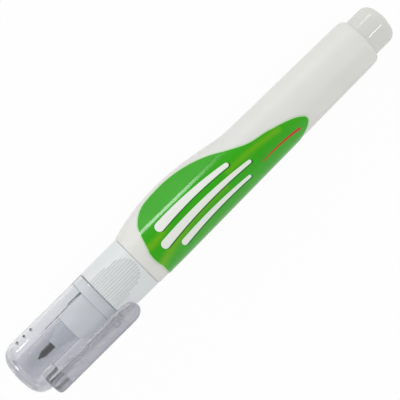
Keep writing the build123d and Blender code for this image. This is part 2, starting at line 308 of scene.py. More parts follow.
# %% Lamps
def add_lamp(name, angle, distance, width, length, power, along=0.0, mirrored=True):
    """Area lamp at an angle round the pen from straight up towards the belly, aimed at the pen's axis."""
    lean = math.radians(angle)
    place = Vector((along, math.sin(lean) * distance, math.cos(lean) * distance + AXIS_START[2]))
    data = bpy.data.lights.new(name, "AREA")
    data.shape = "RECTANGLE"
    data.size, data.size_y = length, width
    data.energy = power
    lamp = bpy.data.objects.new(name, data)
    bpy.context.collection.objects.link(lamp)
    lamp.matrix_world = Matrix.Translation(place) @ Matrix.Rotation(-lean, 4, "X")
    lamp.visible_transmission = False
    lamp.visible_glossy = mirrored
    print("lamp", name, power, "W")


add_lamp("overhead_softbox", angle=-2, distance=0.9, width=0.7, length=0.9, power=1.0, mirrored=False)
add_lamp("belly_strip", angle=66.5, distance=0.6, width=0.14, length=0.07, power=0.38, along=0.012)
add_lamp("cap_glint", angle=84, distance=0.6, width=0.04, length=0.03, power=0.05, along=-0.12)
add_lamp("end_glint", angle=84, distance=0.17, width=0.2, length=0.4, power=2.2, along=-0.6)
add_lamp("plug_lamp_belly_side", angle=60, distance=0.7, width=0.07, length=0.3, power=0.44, along=0.343)
add_lamp("plug_lamp_clip_side", angle=-22.5, distance=0.7, width=0.07, length=0.3, power=0.65, along=0.343)

# %% [markdown]
# ## Plastics
#
# The barrel is blow-moulded polyethylene: soft, milky and satin, with a slight orange-peel skin. The collar
# and the tip's cone are injection-moulded polypropylene, a little cooler and finer. The plug is the same
# plastic from a polished mould, so it shines. One function makes all three, because they differ only in
# numbers. Light that goes a little way into the plastic softens its shadows, and where a piece carries
# painted shade its white turns grey.

# %% White plastics
# The grey that painted shade darkens white plastic towards.
PAINTED_SHADE_GREY = "#8f9696"
CLOUD_MM, GLOSS_SPREAD = 9, 0.12
WHITE_IOR, MILK_REACH, MILK_DEPTH = 1.5, (1.0, 0.95, 0.9), 1.2


def white_plastic(name, colour, shade, roughness, skin_mm, skin_depth_mm, milky):
    """Moulded white plastic: faint cloudiness of tone, uneven gloss, a fine moulded skin and painted shade.
    """
    material, tree, shader = new_material(name)
    place = add_node(tree, "ShaderNodeTexCoord").outputs["Object"]
    clouds = {"Vector": place, "Scale": per_metre(CLOUD_MM), "Detail": 2.0}
    cloud = add_node(tree, "ShaderNodeTexNoise", None, clouds).outputs[0]
    tones = {0: cloud, 6: linear(shade), 7: linear(colour)}
    tone = add_node(tree, "ShaderNodeMix", {"data_type": "RGBA"}, tones)
    # Painted shade: a value on the points darkens the white towards grey where a piece carries it.
    painted_shade = add_node(tree, "ShaderNodeAttribute", {"attribute_name": "painted_shade"}).outputs["Fac"]
    shaded_tones = {0: painted_shade, 6: tone.outputs[2], 7: linear(PAINTED_SHADE_GREY)}
    surface = add_node(tree, "ShaderNodeMix", {"data_type": "RGBA"}, shaded_tones)
    tree.links.new(surface.outputs[2], shader.inputs["Base Color"])
    dull, bright = roughness * (1 + GLOSS_SPREAD), roughness * (1 - GLOSS_SPREAD)
    gloss = add_node(tree, "ShaderNodeMapRange", None, {"Value": cloud, "To Min": dull, "To Max": bright})
    tree.links.new(gloss.outputs[0], shader.inputs["Roughness"])
    grain = {"Vector": place, "Scale": per_metre(skin_mm), "Detail": 1.0}
    skin = add_node(tree, "ShaderNodeTexNoise", None, grain)
    relief = {"Height": skin.outputs[0], "Distance": skin_depth_mm * MM, "Strength": 1.0}
    bump = add_node(tree, "ShaderNodeBump", None, relief)
    tree.links.new(bump.outputs[0], shader.inputs["Normal"])
    shader.inputs["IOR"].default_value = WHITE_IOR
    shader.inputs["Subsurface Weight"].default_value = milky
    shader.inputs["Subsurface Radius"].default_value = MILK_REACH
    shader.inputs["Subsurface Scale"].default_value = MILK_DEPTH * MM
    return material


soft_polyethylene = white_plastic(
    "soft_polyethylene", "#e6e6e1", "#e0e0dc",
    roughness=0.42, skin_mm=0.9, skin_depth_mm=0.006, milky=0.15,
)
moulded_polypropylene = white_plastic(
    "moulded_polypropylene", "#e4e8e8", "#dee2e2",
    roughness=0.36, skin_mm=0.5, skin_depth_mm=0.0004, milky=0.1,
)
polished_polypropylene = white_plastic(
    "polished_polypropylene", "#dededa", "#d8d8d4",
    roughness=0.07, skin_mm=2.5, skin_depth_mm=0.002, milky=0.1,
)

# %% [markdown]
# The cap is clear polystyrene with a breath of lavender. Light that crosses it is tinted once for each
# wall, so the cap looks greyer where its walls lie behind each other. The clip is half as thick again as
# the shell and is tinted darker, partly for its thickness and partly as painted shade of the shadow seen
# through it. The shell beside the clip is darkened as painted shade of that shadow. The distance from the
# axis and from the pen's middle plane tell these zones apart.
#
# A thick clear piece guides light along inside itself, and a renderer gives up after a few bounces and
# leaves black bars. So in the clip and in the closed end a share of the light goes straight through. Light
# on its way from a lamp all goes straight through, which keeps the tip bright and the shadow pale.

# %% Clear plastics
THIN_REACH, THICK_REACH = 7.95, 8.6
# Painted shade: the shell beside the clip, on the clip's side of the pen, takes part of the clip's darker
# tint.
CLIP_SHADOW_START, CLIP_SHADOW_FULL, CLIP_SHADOW_SHARE = -3.4, -5.0, 0.27
END_START, END_FULL = -38.0, -40.5
STRAIGHT_SHARE = 0.35
LAMP_RAYS = {"Is Shadow Ray": 1.0, "Is Diffuse Ray": 1.0}
FLOW_MM, FLOW_DEPTH, CLEAR_IOR = 3.5, 0.003, 1.57
STRAIGHT_TINT = "#fafafc"


def cap_zones(tree, place):
    """Three ramps up from 0: out into the clip by the length of (y, z), sideways by y into the painted clip
    shadow, to the end by x.
    """
    offset = (0, -AXIS_START[1], -AXIS_START[2])
    centred = {"Vector": place, "Location": offset, "Scale": (0, 1, 1)}
    off_axis = add_node(tree, "ShaderNodeMapping", None, centred)
    reach = add_node(tree, "ShaderNodeVectorMath", {"operation": "LENGTH"}, {0: off_axis.outputs[0]})
    axes = add_node(tree, "ShaderNodeSeparateXYZ", None, {0: place})
    near, far = (float(to_frame(0, y, 0)[1]) for y in (CLIP_SHADOW_START, CLIP_SHADOW_FULL))
    first, last = (float(to_frame(station, 0, 0)[0]) for station in (END_START, END_FULL))
    ramps = (
        {"Value": reach.outputs["Value"], "From Min": THIN_REACH * MM, "From Max": THICK_REACH * MM},
        {"Value": axes.outputs["Y"], "From Min": near, "From Max": far, "To Max": CLIP_SHADOW_SHARE},
        {"Value": axes.outputs["X"], "From Min": first, "From Max": last},
    )
    return [add_node(tree, "ShaderNodeMapRange", None, ramp).outputs[0] for ramp in ramps]


def straight_share(tree, clip, end):
    """Share of light that isn't bent: all on its way from a lamp, else a share in clip and closed end."""
    guide = add_node(tree, "ShaderNodeMath", {"operation": "MAXIMUM"}, {0: end, 1: clip})
    some = {0: guide.outputs[0], 1: STRAIGHT_SHARE}
    share = add_node(tree, "ShaderNodeMath", {"operation": "MULTIPLY"}, some)
    either = {0: ray_share(tree, LAMP_RAYS), 1: share.outputs[0]}
    return add_node(tree, "ShaderNodeMath", {"operation": "MAXIMUM"}, either).outputs[0]


def clear_plastic(name, colour, thick_and_shaded_colour, roughness, haze):
    """Clear moulded plastic: refracts, scatters a share as haze, is greyer in the clip, partly as painted
    shade, and beside it as painted shade.
    """
    material, tree, shader = new_material(name)
    place = add_node(tree, "ShaderNodeTexCoord").outputs["Object"]
    waves = {"Vector": place, "Scale": per_metre(FLOW_MM), "Detail": 1.0}
    flow = add_node(tree, "ShaderNodeTexNoise", None, waves)
    relief = {"Height": flow.outputs[0], "Distance": FLOW_DEPTH * MM, "Strength": 1.0}
    bump = add_node(tree, "ShaderNodeBump", None, relief)
    tree.links.new(bump.outputs[0], shader.inputs["Normal"])
    clip, side, end = cap_zones(tree, place)
    # How far the darker tint reaches: into the clip, and as painted shade into the shell beside it.
    depth = add_node(tree, "ShaderNodeMath", {"operation": "MAXIMUM"}, {0: clip, 1: side})
    tints = {0: depth.outputs[0], 6: linear(colour), 7: linear(thick_and_shaded_colour)}
    tint = add_node(tree, "ShaderNodeMix", {"data_type": "RGBA"}, tints)
    tree.links.new(tint.outputs[2], shader.inputs["Base Color"])
    shader.inputs["Roughness"].default_value = roughness
    shader.inputs["IOR"].default_value = CLEAR_IOR
    shader.inputs["Transmission Weight"].default_value = 1 - haze
    through = add_node(tree, "ShaderNodeBsdfTransparent", None, {"Color": linear(STRAIGHT_TINT)})
    shared = {0: straight_share(tree, clip, end), 1: shader.outputs[0], 2: through.outputs[0]}
    surface = add_node(tree, "ShaderNodeMixShader", None, shared)
    tree.links.new(surface.outputs[0], tree.nodes["Material Output"].inputs["Surface"])
    return material


# The clip's darker tint is partly its thickness and partly painted shade from the shadowed floor seen
# through it.
clear_polystyrene = clear_plastic("clear_polystyrene", "#f0f1f4", "#9c9ea7", roughness=0.02, haze=0.02)
clear_polypropylene = clear_plastic("clear_polypropylene", "#ecedef", "#ecedef", roughness=0.08, haze=0.02)

# %% [markdown]
# The tip's tube, pin and spring are drawn stainless wire and tube, so their fine scratches run along the
# pen and break up the gloss. Real scratches would be too fine to show, so these are drawn coarser. The ball
# is polished bearing steel, which mirrors almost cleanly.

# %% Steels
SCRATCH_STRETCH, SCRATCH_SPREAD = 0.1, 0.4


def steel(name, colour, roughness, scratch_mm):
    """Stainless steel, its gloss broken by scratches that are ten times as long as wide, along the pen."""
    material, tree, shader = new_material(name)
    place = add_node(tree, "ShaderNodeTexCoord").outputs["Object"]
    stretched = {"Vector": place, "Scale": (SCRATCH_STRETCH, 1, 1)}
    drawn = add_node(tree, "ShaderNodeMapping", None, stretched)
    scratches = {"Vector": drawn.outputs[0], "Scale": per_metre(scratch_mm), "Detail": 3.0}
    grain = add_node(tree, "ShaderNodeTexNoise", None, scratches).outputs[0]
    smooth, rough = roughness * (1 - SCRATCH_SPREAD), roughness * (1 + SCRATCH_SPREAD)
    gloss = add_node(tree, "ShaderNodeMapRange", None, {"Value": grain, "To Min": smooth, "To Max": rough})
    tree.links.new(gloss.outputs[0], shader.inputs["Roughness"])
    shader.inputs["Base Color"].default_value = linear(colour)
    shader.inputs["Metallic"].default_value = 1.0
    return material


# The drawn steel's colour is darker than bright stainless: a painted reflection of dark surroundings.
drawn_steel = steel("drawn_stainless_steel", "#7b7473", roughness=0.18, scratch_mm=0.2)
bearing_steel = steel("polished_bearing_steel", "#c9c9cb", roughness=0.08, scratch_mm=0.4)

# %% [markdown]
# ## Turned shapes
#
# Plug, collar, tip and cap are round, so each is a half section turned about the axis. Moulded corners are
# never quite sharp. A small helper rounds each corner of a section by its own amount, which is what catches
# the fine bright lines along the edges.


# %% Profiles and turning
COLUMNS, CORNER_STEPS, DOME_STEPS = 192, 6, 12
AROUND = np.linspace(0, 2 * np.pi, COLUMNS, endpoint=False)


def rounded(corners, steps=CORNER_STEPS):
    """Each corner C, with cut c, becomes the curve (1-u)^2 A + 2u(1-u) C + u^2 B.

    A and B lie at the distance c from C along its two edges."""
    corners = np.array(corners, float)
    place, cut = corners[:, None, :2], corners[:, None, 2:]
    before, after = np.roll(place, 1, axis=0) - place, np.roll(place, -1, axis=0) - place
    start = place + cut * before / np.linalg.norm(before, axis=-1, keepdims=True)
    end = place + cut * after / np.linalg.norm(after, axis=-1, keepdims=True)
    u = np.linspace(0, 1, steps)[None, :, None]
    return ((1 - u) ** 2 * start + 2 * u * (1 - u) * place + u**2 * end).reshape(-1, 2)


def quarter_arc(count):
    """Sine and one-minus-cosine of a quarter turn in equal steps."""
    turn = np.linspace(0, np.pi / 2, count)
    return np.sin(turn), 1 - np.cos(turn)


def turned(profile):
    """Surface of revolution: each (station, radius) point of a profile goes round the axis."""
    station, radius = profile[:, :1], profile[:, 1:]
    return to_frame(station, radius * np.sin(AROUND), radius * np.cos(AROUND))


print("a turned piece has", COLUMNS, "columns and", CORNER_STEPS, "rows at each corner")

# %% [markdown]
# ## Barrel
#
# Cut across, the barrel is a circle with a smaller circle above it towards the belly, and two straight
# flanks that touch both. As the belly rises along the pen, the small circle moves out and shrinks. That
# gives the distance from the axis at any angle, so the whole barrel is one grid of stations and angles. A
# loft through drawn sections could make it too, but the formula also tells the label where to lie.

# %% Barrel form
BARREL_LENGTH = node_stations("barrel")[1]
BARREL_RADIUS, BARREL_REAR_RADIUS = 8.1, 7.12
TAPER_START = 10.0
BELLY_LENGTH, BELLY_BLEND, BELLY_RISE = 39.0, 3.0, 2.638
BELLY_LEAD_POWER = 0.88
FLANK_LEAN = 38
FLANK_TURN = math.radians(90 - FLANK_LEAN)
CREST_HEIGHT = BARREL_RADIUS + BELLY_RISE


def belly_at(station):
    """Rise of the crest: a half sine of the share of the belly's length, ended by a parabola."""
    share = np.clip(station / BELLY_LENGTH, 0, 1)
    wave = BELLY_RISE * np.sin(np.pi * share**BELLY_LEAD_POWER)
    to_end = np.clip(BELLY_LENGTH + BELLY_BLEND - station, 0, None)
    slope = BELLY_RISE * np.pi * BELLY_LEAD_POWER / BELLY_LENGTH
    return np.where(to_end < 2 * BELLY_BLEND, slope * to_end**2 / (4 * BELLY_BLEND), wave)


def radius_at(station):
    """Radius of the round barrel: even at its front, then falling steadily to its rear."""
    share = np.clip((station - TAPER_START) / (BARREL_LENGTH - TAPER_START), 0, 1)
    return BARREL_RADIUS - (BARREL_RADIUS - BARREL_REAR_RADIUS) * share


def crest_circle(radius, rise):
    """Offset rise / (1 - cos turn) and radius R - offset * cos turn of the circle that the flanks touch."""
    lean = np.cos(FLANK_TURN)
    offset = rise / (1 - lean)
    return offset, radius - lean * offset


def reach_at(radius, rise, angle):
    """Distance from the axis at an angle from +z towards +y: circle, flank R / cos, or crest circle."""
    offset, crest = crest_circle(radius, rise)
    off_crest = np.abs(np.pi / 2 - angle)
    off_crest = np.minimum(off_crest, 2 * np.pi - off_crest)
    tangent = np.arctan2(crest * np.sin(FLANK_TURN), offset + crest * np.cos(FLANK_TURN))
    flank = radius / np.cos(np.clip(FLANK_TURN - off_crest, 0, FLANK_TURN))
    across = np.clip(crest**2 - (offset * np.sin(off_crest)) ** 2, 0, None)
    top = offset * np.cos(off_crest) + np.sqrt(across)
    return np.where(off_crest >= FLANK_TURN, radius, np.where(off_crest > tangent, flank, top))


print("barrel", round(BARREL_LENGTH, 2), "mm long, belly", round(CREST_HEIGHT, 2), "mm off the axis")

# %% [markdown]
# The barrel is a closed skin: its profile runs out over the front bevel, along the outside, round the rear
# shoulder, through the bore of the plug and back along the inside one wall lower. The shallow flat along
# the back, on which the pen lies, is cut by holding z above the table.

# %% Barrel skin
BEVEL, WALL = 0.45, 1.0
SHOULDER_LENGTH, SHOULDER_DROP = 2.4, 1.0
MOUTH_RADIUS, MOUTH_DEPTH = 7.0, 6.5
PLUG_BORE, PLUG_FRONT = 5.32, 74.3
SEAT_RADIUS, SEAT_WIDTH = 4.4, 1.5
OUTSIDE_ROWS, SHOULDER_ROWS, INSIDE_ROWS = 170, 14, 60


def barrel_points():
    """Grid of the barrel: each profile row has a station, a radius and a belly rise."""
    outside = np.linspace(BEVEL, BARREL_LENGTH - SHOULDER_LENGTH, OUTSIDE_ROWS)
    along, drop = quarter_arc(SHOULDER_ROWS)
    shoulder = outside[-1] + SHOULDER_LENGTH * along
    inside = np.linspace(PLUG_FRONT - SEAT_WIDTH, MOUTH_DEPTH, INSIDE_ROWS)
    bore_station = [BARREL_LENGTH, PLUG_FRONT, PLUG_FRONT, PLUG_FRONT - SEAT_WIDTH]
    bore_radius = [PLUG_BORE, PLUG_BORE, SEAT_RADIUS, SEAT_RADIUS]
    rows = [
        ([0.0, 0.0], [MOUTH_RADIUS, BARREL_RADIUS - BEVEL], [0.0, 0.0]),
        (outside, radius_at(outside), belly_at(outside)),
        (shoulder, radius_at(outside[-1]) - SHOULDER_DROP * drop, 0 * drop),
        (bore_station, bore_radius, [0.0] * len(bore_station)),
        (inside, radius_at(inside) - WALL, belly_at(inside)),
        ([MOUTH_DEPTH], [MOUTH_RADIUS], [0.0]),
    ]
    station, radius, rise = (np.concatenate([row[k] for row in rows])[:, None] for k in range(3))
    reach = reach_at(radius, rise, AROUND[None, :])
    z = np.maximum(reach * np.cos(AROUND), -REST_DEPTH)
    return to_frame(station, reach * np.sin(AROUND), z)


barrel_mesh = grid_mesh("squeeze_barrel", barrel_points(), close_rows=True)
add_piece("squeeze_barrel", barrel_mesh, soft_polyethylene, "barrel", ["barrel"])

# %% [markdown]
# ## Rear plug
#
# The plug closes the barrel after filling. Only its glossy end shows, with a wide rounded corner. The
# hollow behind it keeps the moulded wall even. A bevelled cylinder could stand for it, but one turned
# section gives the corner, the dome and the hollow together.

# %% Rear plug
PLUG_RADIUS, PLUG_WALL = 5.3, 1.3
SPIGOT_RADIUS, SPIGOT_SEAT, SPIGOT_CORNER, SPIGOT_DOME = 5.8, 83.32, 2.8, 0.65
SPIGOT_END = node_stations("rear_plug")[1]
SPIGOT_STEPS, FINE_EDGE = 16, 0.15


def spigot_end(wall):
    """Spigot's end drawn in by a wall: a quarter circle, then a dome that falls as the radius squared."""
    along, drop = quarter_arc(SPIGOT_STEPS)
    corner = SPIGOT_CORNER - wall
    bend = SPIGOT_END - wall - SPIGOT_DOME
    turn = np.stack([bend - corner * (1 - along), SPIGOT_RADIUS - wall - corner * drop], axis=1)
    share = np.linspace(1, 0, DOME_STEPS)[1:]
    dome = np.stack([bend + SPIGOT_DOME * (1 - share**2), turn[-1, 1] * share], axis=1)
    return np.vstack([turn, dome])


def plug_profile():
    """Half section of the plug, from the pole of its outer end to the pole of its inner end."""
    stem = [
        (SPIGOT_SEAT, SPIGOT_RADIUS, FINE_EDGE),
        (SPIGOT_SEAT, PLUG_RADIUS, 0),
        (PLUG_FRONT, PLUG_RADIUS, FINE_EDGE),
        (PLUG_FRONT, SPIGOT_RADIUS - PLUG_WALL, FINE_EDGE),
    ]
    return np.vstack([spigot_end(0)[::-1], rounded(stem), spigot_end(PLUG_WALL)])


plug_mesh = grid_mesh("rear_plug_end", turned(plug_profile()))
add_piece("rear_plug_end", plug_mesh, polished_polypropylene, "barrel", ["rear_plug"])

# %% [markdown]
# ## Ribbed collar
#
# The collar's fine ribs are what is left between round grooves. A groove is a drop in the radius, so no
# cutting is needed: at each point the radius is the smaller of the plain surface and the floor of the
# nearest groove. The columns lie close together only where there are ribs, on the front and on the back.
# The grooves and the joint with the cap are darkened as painted shade, which draws both as grey lines.

# %% Collar surface
COLLAR_FRONT, COLLAR_FRONT_RADIUS, COLLAR_REAR_RADIUS, COLLAR_EDGE = -12.7, 7.95, 8.0, 0.5
FLANGE_FRONT, FLANGE_RADIUS, NECK_FRONT, NECK_RADIUS = -15.8, 7.1, -21.0, 6.3
NECK_EDGE = 0.4
NOZZLE_FRONT, SHOULDER_RADIUS, NOZZLE_BORE = -24.65, 4.1, 2.97
CHAMBER_RADIUS, CHAMBER_WALL, COLLAR_PLUG_RADIUS, COLLAR_PLUG_END = 5.4, 2.2, 6.98, 6.0
GROOVES, GROOVE_PITCH, GROOVE_RADIUS = 14, math.radians(5.4), 0.26
GROOVE_LENGTH, GROOVE_EDGE_SHARE = 12.0, 0.45
RIBBED_HALF = math.radians(39)
GROOVE_PAINTED_SHADE, JOINT_PAINTED_SHADE, JOINT_WIDTH = 0.6, 0.8, 0.25
FINE_COLUMNS, WIDE_COLUMNS, GRIP_ROWS = 200, 40, 60


def ribbed_angles():
    """Angles round the collar: close together on the two ribbed patches, wide apart between them."""
    fine = np.linspace(-RIBBED_HALF, RIBBED_HALF, FINE_COLUMNS, endpoint=False)
    wide = np.linspace(RIBBED_HALF, np.pi - RIBBED_HALF, WIDE_COLUMNS, endpoint=False)
    half = np.concatenate([fine, wide])
    return np.concatenate([half, half + np.pi])


def groove_floor(station, angle):
    """Radius at the floor of the nearest groove: R - sqrt(g^2 - t^2 - e^2), t off its line, e past it."""
    index = np.arange(GROOVES) - (GROOVES - 1) / 2
    fold = (angle + np.pi / 2) % np.pi - np.pi / 2
    off_line = COLLAR_REAR_RADIUS * np.sin(fold[..., None] - GROOVE_PITCH * index)
    arch = np.sqrt(1 - (index / index[-1]) ** 2)
    end = COLLAR_FRONT + GROOVE_LENGTH * (GROOVE_EDGE_SHARE + (1 - GROOVE_EDGE_SHARE) * arch)
    past_end = np.clip(station[..., None] - end, 0, None)
    depth = np.sqrt(np.clip(GROOVE_RADIUS**2 - off_line**2 - past_end**2, 0, None)).max(axis=-1)
    return COLLAR_REAR_RADIUS - depth


def collar_points():
    """Grid of the collar, a closed profile with grooves sunk into its outside, and each point's painted
    shade.
    """
    outside = np.linspace(COLLAR_FRONT + COLLAR_EDGE, 0, GRIP_ROWS)[:, None]
    lean = (COLLAR_REAR_RADIUS - COLLAR_FRONT_RADIUS) / -COLLAR_FRONT
    grip = np.hstack([outside, COLLAR_FRONT_RADIUS + lean * (outside - COLLAR_FRONT)])
    front = [
        (FLANGE_FRONT - CHAMBER_WALL, NOZZLE_BORE, 0),
        (NOZZLE_FRONT, NOZZLE_BORE, FINE_EDGE),
        (NOZZLE_FRONT, SHOULDER_RADIUS, FINE_EDGE),
        (NECK_FRONT, NECK_RADIUS, NECK_EDGE),
        (FLANGE_FRONT, NECK_RADIUS, FINE_EDGE),
        (FLANGE_FRONT, FLANGE_RADIUS, FINE_EDGE),
        (COLLAR_FRONT, FLANGE_RADIUS, FINE_EDGE),
        (COLLAR_FRONT, COLLAR_FRONT_RADIUS, COLLAR_EDGE),
        (0, COLLAR_REAR_RADIUS, 0),
    ]
    behind = [
        (0, COLLAR_PLUG_RADIUS, 0),
        (COLLAR_PLUG_END, COLLAR_PLUG_RADIUS, FINE_EDGE),
        (COLLAR_PLUG_END, CHAMBER_RADIUS, FINE_EDGE),
        (FLANGE_FRONT, CHAMBER_RADIUS, 0),
        (FLANGE_FRONT - CHAMBER_WALL, NOZZLE_BORE, 0),
    ]
    profile = np.vstack([rounded(front)[:-CORNER_STEPS], grip, rounded(behind)])
    angle = ribbed_angles()[None, :]
    station, radius = profile[:, :1], profile[:, 1:]
    gripped = (station >= COLLAR_FRONT) & (radius > FLANGE_RADIUS + FINE_EDGE)
    sunk = np.minimum(radius, groove_floor(station + 0 * angle, angle + 0 * station))
    reach = np.where(gripped, sunk, radius)
    in_joint = (station < COLLAR_FRONT + JOINT_WIDTH) & (radius > FLANGE_RADIUS)
    # Painted shade: deeper in the grooves, and along the joint with the cap.
    painted_shade = GROOVE_PAINTED_SHADE * (radius - reach) + JOINT_PAINTED_SHADE * in_joint
    return to_frame(station, reach * np.sin(angle), reach * np.cos(angle)), painted_shade


grip_points, painted_shade = collar_points()
collar_mesh = grid_mesh("ribbed_collar", grip_points, close_rows=True, values={"painted_shade": painted_shade})
add_piece("ribbed_collar", collar_mesh, moulded_polypropylene, "barrel", ["nozzle_collar"])

# %% [markdown]
# ## Tip and valve
#
# A white cone carries a thin metal tube. A pin closes the tube from inside, and a coil spring pushes the
# pin forward. Writing presses the pin in, so the spring has to shorten as the pin moves. All but the spring
# are round, so a table of half sections and one loop make them.

# %% Tip, tube, pin and stop
HOLDER_FRONT, HOLDER_NOSE, HOLDER_BASE, HOLDER_PLUG, HOLDER_REAR = -30.7, 1.3, 3.15, 2.95, -16.05
TUBE_FRONT, TUBE_NOSE_END, TUBE_NOSE, TUBE_RADIUS, VALVE_SEAT = -35.3, -34.2, 0.62, 0.95, -27.7
PIN_POINT, PIN_RADIUS, PIN_HEAD_FRONT, PIN_HEAD_REAR, PIN_HEAD = -36.2, 0.36, -27.68, -26.88, 1.25
PIN_TAIL, PIN_TAIL_END, TUBE_BORE = 0.55, -22.88, 0.41
CHAMBER_BORE, STOP_FRONT, STOP_RADIUS, STOP_BORE = 1.6, -18.55, 1.58, 0.6
TINY_EDGE, NOSE_EDGE, POINT_EDGE, TUBE_FIT = 0.08, 0.05, 0.3, 0.02

SECTIONS = {
    "tip_cone": [
        (HOLDER_FRONT, TUBE_RADIUS + TUBE_FIT, TINY_EDGE),
        (HOLDER_FRONT, HOLDER_NOSE, TINY_EDGE),
        (NOZZLE_FRONT, HOLDER_BASE, TINY_EDGE),
        (NOZZLE_FRONT, HOLDER_PLUG, 0),
        (HOLDER_REAR, HOLDER_PLUG, TINY_EDGE),
        (HOLDER_REAR, CHAMBER_BORE, 0),
        (VALVE_SEAT, CHAMBER_BORE, 0),
        (VALVE_SEAT, TUBE_RADIUS + TUBE_FIT, 0),
    ],
    "tip_tube_metal": [
        (TUBE_FRONT, TUBE_BORE, NOSE_EDGE),
        (TUBE_FRONT, TUBE_NOSE, NOSE_EDGE),
        (TUBE_NOSE_END, TUBE_RADIUS, TINY_EDGE),
        (VALVE_SEAT, TUBE_RADIUS, 0),
        (VALVE_SEAT, TUBE_BORE, 0),
    ],
    "valve_pin_metal": [
        (PIN_POINT, 0, 0),
        (PIN_POINT, PIN_RADIUS, POINT_EDGE),
        (PIN_HEAD_FRONT, PIN_RADIUS, 0),
        (PIN_HEAD_FRONT, PIN_HEAD, TINY_EDGE),
        (PIN_HEAD_REAR, PIN_HEAD, TINY_EDGE),
        (PIN_HEAD_REAR, PIN_TAIL, 0),
        (PIN_TAIL_END, PIN_TAIL, TINY_EDGE),
        (PIN_TAIL_END, 0, 0),
    ],
    "spring_stop_ring": [
        (STOP_FRONT, STOP_BORE, TINY_EDGE),
        (STOP_FRONT, STOP_RADIUS, TINY_EDGE),
        (HOLDER_REAR, STOP_RADIUS, TINY_EDGE),
        (HOLDER_REAR, STOP_BORE, TINY_EDGE),
    ],
}
PIECES = (
    ("tip_cone", moulded_polypropylene, "barrel", "white_plastic", "tip_holder"),
    ("tip_tube_metal", drawn_steel, "barrel", "steel", "tip_tube"),
    ("valve_pin_metal", drawn_steel, "valve_pin", "steel", "valve_pin"),
    ("spring_stop_ring", moulded_polypropylene, "barrel", "white_plastic", "spring_stop"),
)
for name, material, body, slot, node in PIECES:
    closed = SECTIONS[name][0][1] > 0
    mesh = grid_mesh(name, turned(rounded(SECTIONS[name])), close_rows=closed)
    add_piece(name, mesh, material, body, [node])

# %% [markdown]
# The spring is a round wire carried along a helix. At each point of the helix the wire's circle stands on
# the direction away from the axis and the one square to that and to the path. A bevelled curve could do it
# too, but a grid is a mesh at once, with its place in it.

# %% Valve spring
WIRE_RADIUS, COIL_RADIUS, COIL_START, COIL_END, COIL_TURNS = 0.15, 1.08, -26.68, -18.75, 8
TURN_STEPS, WIRE_STEPS = 28, 12


def coil_points():
    """Tube of the wire's radius round the helix (pitch * t, R sin t, R cos t), with a point at each end."""
    t = np.linspace(0, 2 * np.pi * COIL_TURNS, TURN_STEPS * COIL_TURNS)
    t = np.concatenate([t[:1], t, t[-1:]])[:, None]
    rise = (COIL_END - COIL_START) / (2 * np.pi * COIL_TURNS)
    ring = np.linspace(0, 2 * np.pi, WIRE_STEPS, endpoint=False)
    size = np.ones_like(t)
    size[[0, -1]] = 0
    out, along = WIRE_RADIUS * size * np.cos(ring), WIRE_RADIUS * size * np.sin(ring)
    slant = math.hypot(rise, COIL_RADIUS)
    side = along * rise / slant
    y = (COIL_RADIUS + out) * np.sin(t) - side * np.cos(t)
    z = (COIL_RADIUS + out) * np.cos(t) + side * np.sin(t)
    return to_frame(COIL_START + rise * t + along * COIL_RADIUS / slant, y, z)


spring_mesh = grid_mesh("valve_coil_spring", coil_points())
spring = add_piece("valve_coil_spring", spring_mesh, drawn_steel, "barrel", ["valve_spring"])
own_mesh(spring)

# %% [markdown]
# ## Label
#
# The label is a printed film with a leaf outline that follows the belly and wraps under the back. Each
# column of its grid is one station: the film runs there from a low angle to a high angle on the barrel's
# own form. The outline's points are shares of the label's length and of the barrel's half width.

# %% Label outline
LABEL_START, LABEL_LENGTH, LABEL_THICKNESS, LABEL_LIFT = 3.8, 54.6, 0.16, 0.02
LABEL_WRAP, LABEL_CORNER, LABEL_WRAP_RUN = 3.0, 2.2, 4.5
LABEL_WRAP_END_SHARE = 0.9
UPPER_SHARES = (
    (0.0, -0.03),
    (0.034, 0.476),
    (0.063, 0.671),
    (0.107, 0.817),
    (0.165, 0.889),
    (0.286, 0.909),
    (0.401, 0.831),
    (0.513, 0.646),
    (0.623, 0.343),
    (0.707, 0.146),
    (0.819, 0.022),
    (0.93, -0.212),
    (0.987, -0.44),
    (1.0, -0.622),
)
REAR_SHARES = ((0.9, -1.0), (0.935, -0.94), (0.967, -0.86), (0.99, -0.75), (1.0, -0.622))


def smooth_line(points, steps=24):
    """Catmull-Rom curve: from p1 to p2 a cubic whose end slopes are (p2 - p0) / 2 and (p3 - p1) / 2."""
    points = np.array(points)
    ends = np.vstack([2 * points[0] - points[1], points, 2 * points[-1] - points[-2]])
    p0, p1, p2, p3 = (ends[k : len(ends) - 3 + k, None, :] for k in range(4))
    t = np.linspace(0, 1, steps, endpoint=False)[None, :, None]
    cubic = p1 + t * (p2 - p0) / 2
    cubic = cubic + t**2 * (p0 - 2.5 * p1 + 2 * p2 - p3 / 2) + t**3 * (1.5 * (p1 - p2) + (p3 - p0) / 2)
    return np.vstack([cubic.reshape(-1, 2), points[-1:]])


def across_to_angle(station, y):
    """Angle on the section at a distance y towards the belly, by the part of the outline that y meets."""
    radius, rise = radius_at(station), belly_at(station)
    offset, crest = crest_circle(radius, rise)
    circle = np.sqrt(np.clip(radius**2 - y**2, 0, None))
    flank = (radius - y * np.cos(FLANK_TURN)) / np.sin(FLANK_TURN)
    top = np.sqrt(np.clip(crest**2 - (y - offset) ** 2, 0, None))
    on_flank, on_top = radius * np.cos(FLANK_TURN), offset + crest * np.cos(FLANK_TURN)
    return np.arctan2(y, np.where(y < on_flank, circle, np.where(y < on_top, flank, top)))


